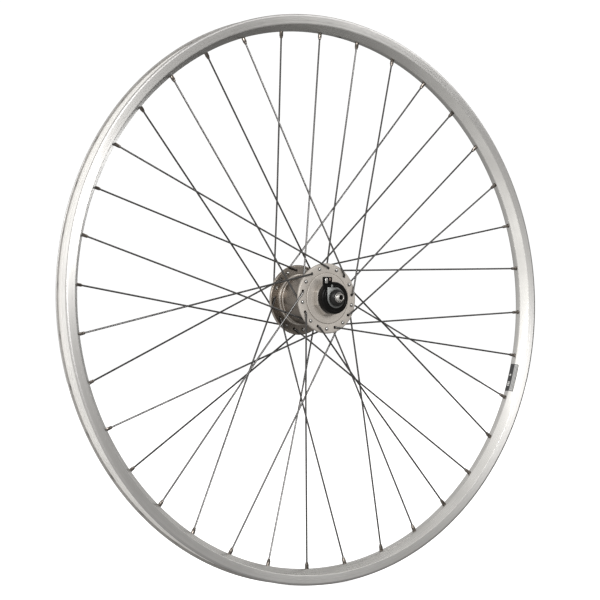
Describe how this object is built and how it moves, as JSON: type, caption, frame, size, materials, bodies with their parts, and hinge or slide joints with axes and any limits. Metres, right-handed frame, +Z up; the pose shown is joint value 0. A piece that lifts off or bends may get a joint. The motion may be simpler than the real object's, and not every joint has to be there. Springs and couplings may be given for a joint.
{
  "type": "bicycle front wheel with hub dynamo",
  "caption": "Spoked bicycle front wheel with a box-section alloy rim, crossed steel spokes and a large-flange generator hub on a hollow quick-release axle.",
  "frame": {"origin": "wheel centre, on the axle midway between the two locknut faces", "axes": "+Y along the axle to the bike's left, +Z up, -Y is the side with the electrical connector, +X forward"},
  "size_m": [0.634, 0.1072, 0.634],
  "materials": {
    "rim_aluminium": "satin anodised silver, brake track with fine turned lines",
    "label_foil": "printed silver foil",
    "spoke_steel": "drawn stainless wire, slightly polished",
    "shell_metal": "satin, darker grey-brown",
    "cover_metal": "warm light grey, fine sanded",
    "magnet": "sintered ferrite",
    "hardened_steel": "ground",
    "bearing_ball": "polished",
    "seal_rubber": "matt",
    "axle_steel": "zinc plated, threaded",
    "black_plastic_inner": "moulded",
    "copper": "enamelled copper wire",
    "pole_steel": "stamped",
    "connector_plastic": "black, slightly glossy moulding",
    "terminal_metal": "tinned",
    "earth_metal": "tinned, dull",
    "plate_steel": "stamped, zinc plated",
    "black_nut": "black oxide",
    "nut_steel": "zinc plated"
  },
  "bodies": {
    "axle_group": {"axle": "axle_steel", "right_cone": "hardened_steel", "left_cone": "hardened_steel", "coil_bobbin": "black_plastic_inner", "coil_winding": "copper", "right_claw_pole": "pole_steel", "left_claw_pole": "pole_steel", "connector_body": "connector_plastic", "live_terminal": "terminal_metal", "earth_terminal": "earth_metal", "lock_plate": "plate_steel", "right_locknut": "black_nut", "left_locknut": "nut_steel"},
    "wheel": {"rim": "rim_aluminium", "rim_label": "label_foil", "spoke_01": "spoke_steel", "spoke_02": "spoke_steel", "spoke_03": "spoke_steel", "spoke_04": "spoke_steel", "spoke_05": "spoke_steel", "spoke_06": "spoke_steel", "spoke_07": "spoke_steel", "spoke_08": "spoke_steel", "spoke_09": "spoke_steel", "spoke_10": "spoke_steel", "spoke_11": "spoke_steel", "spoke_12": "spoke_steel", "spoke_13": "spoke_steel", "spoke_14": "spoke_steel", "spoke_15": "spoke_steel", "spoke_16": "spoke_steel", "spoke_17": "spoke_steel", "spoke_18": "spoke_steel", "spoke_19": "spoke_steel", "spoke_20": "spoke_steel", "spoke_21": "spoke_steel", "spoke_22": "spoke_steel", "spoke_23": "spoke_steel", "spoke_24": "spoke_steel", "spoke_25": "spoke_steel", "spoke_26": "spoke_steel", "spoke_27": "spoke_steel", "spoke_28": "spoke_steel", "spoke_29": "spoke_steel", "spoke_30": "spoke_steel", "spoke_31": "spoke_steel", "spoke_32": "spoke_steel", "spoke_33": "spoke_steel", "spoke_34": "spoke_steel", "spoke_35": "spoke_steel", "spoke_36": "spoke_steel", "hub_shell": "shell_metal", "right_cover": "cover_metal", "magnet_ring": "magnet", "right_bearing_cup": "hardened_steel", "left_bearing_cup": "hardened_steel", "right_dust_seal": "seal_rubber", "left_dust_cap": "seal_rubber"},
    "right_balls": {"right_ball_ring": "bearing_ball"},
    "left_balls": {"left_ball_ring": "bearing_ball"}
  },
  "joints": [
    {"name": "wheel_spin", "type": "hinge", "parent": "axle_group", "child": "wheel", "pos_m": [0, 0, 0], "axis": [0, 1, 0], "continuous": true},
    {"name": "right_ball_spin", "type": "hinge", "parent": "axle_group", "child": "right_balls", "pos_m": [0, -0.0295, 0], "axis": [0, 1, 0], "continuous": true},
    {"name": "left_ball_spin", "type": "hinge", "parent": "axle_group", "child": "left_balls", "pos_m": [0, 0.0362, 0], "axis": [0, 1, 0], "continuous": true}
  ],
  "couplings": [
    {"joint": "right_ball_spin", "follows": "wheel_spin", "ratio": 0.594},
    {"joint": "left_ball_spin", "follows": "wheel_spin", "ratio": 0.594}
  ]
}
